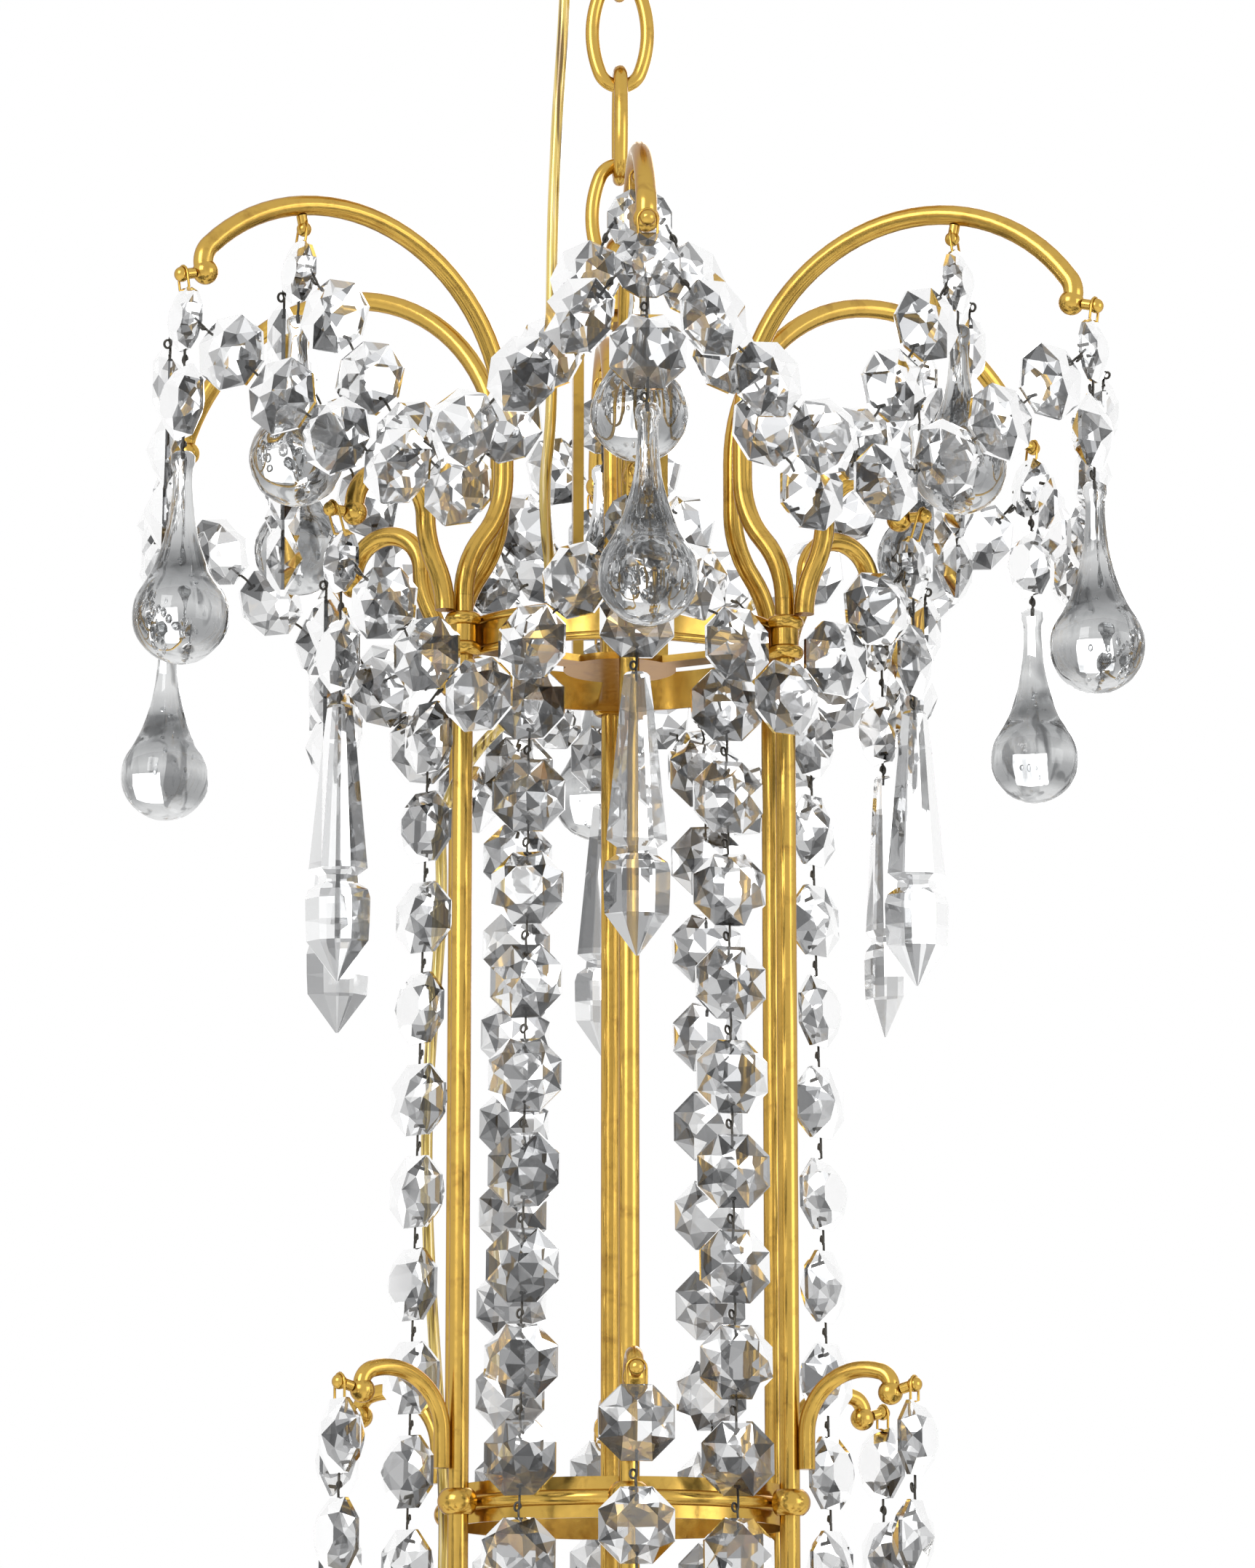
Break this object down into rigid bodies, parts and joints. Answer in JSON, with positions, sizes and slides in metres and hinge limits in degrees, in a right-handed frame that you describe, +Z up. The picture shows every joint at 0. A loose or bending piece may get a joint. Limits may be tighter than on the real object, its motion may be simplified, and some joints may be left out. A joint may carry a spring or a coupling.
{
  "type": "crystal chandelier",
  "caption": "Hanging chandelier: gilt brass cage under a ring of scrolled arms, strung with cut crystal garlands and pendant drops, on an oval-link chain from a domed ceiling canopy.",
  "frame": {"origin": "middle of the canopy's ceiling face", "axes": "+Z up towards the ceiling, -Y towards the front rod of the cage, +X to its right"},
  "size_m": [0.4418, 0.3916, 0.7878],
  "materials": {
    "gilt_brass": "satin",
    "cut_crystal": "polished",
    "steel_wire": "satin",
    "steel_bar": "satin",
    "clear_cord": "gloss",
    "candle_white": "matte",
    "socket_plastic": "matte",
    "bulb_glass": "polished"
  },
  "bodies": {
    "ceiling_mount": {"mounting_bar": "steel_bar", "canopy": "gilt_brass", "canopy_loop": "gilt_brass", "loop_nut": "gilt_brass", "cord_bush": "clear_cord"},
    "link_1": {"chain_link_1": "gilt_brass"},
    "link_2": {"chain_link_2": "gilt_brass"},
    "link_3": {"chain_link_3": "gilt_brass"},
    "link_4": {"chain_link_4": "gilt_brass"},
    "link_5": {"chain_link_5": "gilt_brass"},
    "cage": {"suspension_eye": "gilt_brass", "yoke_strap": "gilt_brass", "ring_spider": "gilt_brass", "upper_ring": "gilt_brass", "upper_collars": "gilt_brass", "cage_rods": "gilt_brass", "scroll_arms": "gilt_brass", "short_scroll_arms": "gilt_brass", "small_arms": "gilt_brass", "hook_knobs": "gilt_brass", "mid_ring": "gilt_brass", "mid_collars": "gilt_brass", "lower_ring": "gilt_brass", "lower_collars": "gilt_brass", "outer_garlands": "cut_crystal", "inner_garlands": "cut_crystal", "lower_garlands": "cut_crystal", "rosettes": "cut_crystal", "bay_strings": "cut_crystal", "side_strings": "cut_crystal", "string_pins": "steel_wire", "lamp_drum": "gilt_brass", "drum_bush": "clear_cord", "lamp_arms": "gilt_brass", "drip_pans": "gilt_brass", "candle_cups": "gilt_brass", "candle_sleeves": "candle_white", "lamp_sockets": "socket_plastic", "candle_bulbs": "bulb_glass", "bottom_finial": "gilt_brass", "supply_cord": "clear_cord"},
    "tip_drop_1_body": {"tip_drop_1": "cut_crystal"},
    "mid_drop_1_body": {"mid_drop_1": "cut_crystal"},
    "spear_drop_1_body": {"spear_drop_1": "cut_crystal"},
    "tip_drop_2_body": {"tip_drop_2": "cut_crystal"},
    "mid_drop_2_body": {"mid_drop_2": "cut_crystal"},
    "spear_drop_2_body": {"spear_drop_2": "cut_crystal"},
    "tip_drop_3_body": {"tip_drop_3": "cut_crystal"},
    "mid_drop_3_body": {"mid_drop_3": "cut_crystal"},
    "spear_drop_3_body": {"spear_drop_3": "cut_crystal"},
    "tip_drop_4_body": {"tip_drop_4": "cut_crystal"},
    "mid_drop_4_body": {"mid_drop_4": "cut_crystal"},
    "spear_drop_4_body": {"spear_drop_4": "cut_crystal"},
    "tip_drop_5_body": {"tip_drop_5": "cut_crystal"},
    "mid_drop_5_body": {"mid_drop_5": "cut_crystal"},
    "spear_drop_5_body": {"spear_drop_5": "cut_crystal"},
    "tip_drop_6_body": {"tip_drop_6": "cut_crystal"},
    "mid_drop_6_body": {"mid_drop_6": "cut_crystal"},
    "spear_drop_6_body": {"spear_drop_6": "cut_crystal"}
  },
  "joints": [
    {"name": "link_1_swing", "type": "hinge", "parent": "ceiling_mount", "child": "link_1", "pos_m": [0, 0, -0.0527], "axis": [0, 1, 0], "range_deg": [-12, 12], "deforming": ["supply_cord"]},
    {"name": "link_2_swing", "type": "hinge", "parent": "link_1", "child": "link_2", "pos_m": [0, 0, -0.0801], "axis": [1, 0, 0], "range_deg": [-12, 12], "deforming": ["supply_cord"]},
    {"name": "link_3_swing", "type": "hinge", "parent": "link_2", "child": "link_3", "pos_m": [0, 0, -0.108], "axis": [0, 1, 0], "range_deg": [-12, 12], "deforming": ["supply_cord"]},
    {"name": "link_4_swing", "type": "hinge", "parent": "link_3", "child": "link_4", "pos_m": [0, 0, -0.1359], "axis": [1, 0, 0], "range_deg": [-12, 12], "deforming": ["supply_cord"]},
    {"name": "link_5_swing", "type": "hinge", "parent": "link_4", "child": "link_5", "pos_m": [0, 0, -0.1638], "axis": [0, 1, 0], "range_deg": [-12, 12], "deforming": ["supply_cord"]},
    {"name": "cage_swing", "type": "hinge", "parent": "link_5", "child": "cage", "pos_m": [0, 0, -0.1917], "axis": [1, 0, 0], "range_deg": [-12, 12], "deforming": ["supply_cord"]},
    {"name": "tip_drop_1_swing", "type": "hinge", "parent": "cage", "child": "tip_drop_1_body", "pos_m": [0, -0.14566, -0.24228], "axis": [-1, 0, 0], "range_deg": [-12, 12]},
    {"name": "mid_drop_1_swing", "type": "hinge", "parent": "cage", "child": "mid_drop_1_body", "pos_m": [0, -0.106, -0.21798], "axis": [-1, 0, 0], "range_deg": [-2, 14]},
    {"name": "spear_drop_1_swing", "type": "hinge", "parent": "cage", "child": "spear_drop_1_body", "pos_m": [0, -0.0915, -0.29865], "axis": [-1, 0, 0], "range_deg": [-8, 12]},
    {"name": "tip_drop_2_swing", "type": "hinge", "parent": "cage", "child": "tip_drop_2_body", "pos_m": [0.12656, -0.07307, -0.24297], "axis": [-0.5, -0.866, 0], "range_deg": [-12, 12]},
    {"name": "mid_drop_2_swing", "type": "hinge", "parent": "cage", "child": "mid_drop_2_body", "pos_m": [0.0918, -0.053, -0.21798], "axis": [-0.5, -0.866, 0], "range_deg": [-2, 14]},
    {"name": "spear_drop_2_swing", "type": "hinge", "parent": "cage", "child": "spear_drop_2_body", "pos_m": [0.07924, -0.04575, -0.29865], "axis": [-0.5, -0.866, 0], "range_deg": [-8, 12]},
    {"name": "tip_drop_3_swing", "type": "hinge", "parent": "cage", "child": "tip_drop_3_body", "pos_m": [0.12735, 0.07352, -0.24437], "axis": [0.5, -0.866, 0], "range_deg": [-12, 12]},
    {"name": "mid_drop_3_swing", "type": "hinge", "parent": "cage", "child": "mid_drop_3_body", "pos_m": [0.0918, 0.053, -0.21798], "axis": [0.5, -0.866, 0], "range_deg": [-2, 14]},
    {"name": "spear_drop_3_swing", "type": "hinge", "parent": "cage", "child": "spear_drop_3_body", "pos_m": [0.07924, 0.04575, -0.29865], "axis": [0.5, -0.866, 0], "range_deg": [-8, 12]},
    {"name": "tip_drop_4_swing", "type": "hinge", "parent": "cage", "child": "tip_drop_4_body", "pos_m": [0, 0.14614, -0.24297], "axis": [1, 0, 0], "range_deg": [-12, 12]},
    {"name": "mid_drop_4_swing", "type": "hinge", "parent": "cage", "child": "mid_drop_4_body", "pos_m": [0, 0.106, -0.21798], "axis": [1, 0, 0], "range_deg": [-2, 14]},
    {"name": "spear_drop_4_swing", "type": "hinge", "parent": "cage", "child": "spear_drop_4_body", "pos_m": [0, 0.0915, -0.29865], "axis": [1, 0, 0], "range_deg": [-8, 12]},
    {"name": "tip_drop_5_swing", "type": "hinge", "parent": "cage", "child": "tip_drop_5_body", "pos_m": [-0.13064, 0.07542, -0.25183], "axis": [0.5, 0.866, 0], "range_deg": [-12, 12]},
    {"name": "mid_drop_5_swing", "type": "hinge", "parent": "cage", "child": "mid_drop_5_body", "pos_m": [-0.0918, 0.053, -0.21798], "axis": [0.5, 0.866, 0], "range_deg": [-2, 14]},
    {"name": "spear_drop_5_swing", "type": "hinge", "parent": "cage", "child": "spear_drop_5_body", "pos_m": [-0.07924, 0.04575, -0.29865], "axis": [0.5, 0.866, 0], "range_deg": [-8, 12]},
    {"name": "tip_drop_6_swing", "type": "hinge", "parent": "cage", "child": "tip_drop_6_body", "pos_m": [-0.1225, -0.07072, -0.23707], "axis": [-0.5, 0.866, 0], "range_deg": [-12, 12]},
    {"name": "mid_drop_6_swing", "type": "hinge", "parent": "cage", "child": "mid_drop_6_body", "pos_m": [-0.0918, -0.053, -0.21798], "axis": [-0.5, 0.866, 0], "range_deg": [-2, 14]},
    {"name": "spear_drop_6_swing", "type": "hinge", "parent": "cage", "child": "spear_drop_6_body", "pos_m": [-0.07924, -0.04575, -0.29865], "axis": [-0.5, 0.866, 0], "range_deg": [-8, 12]}
  ]
}
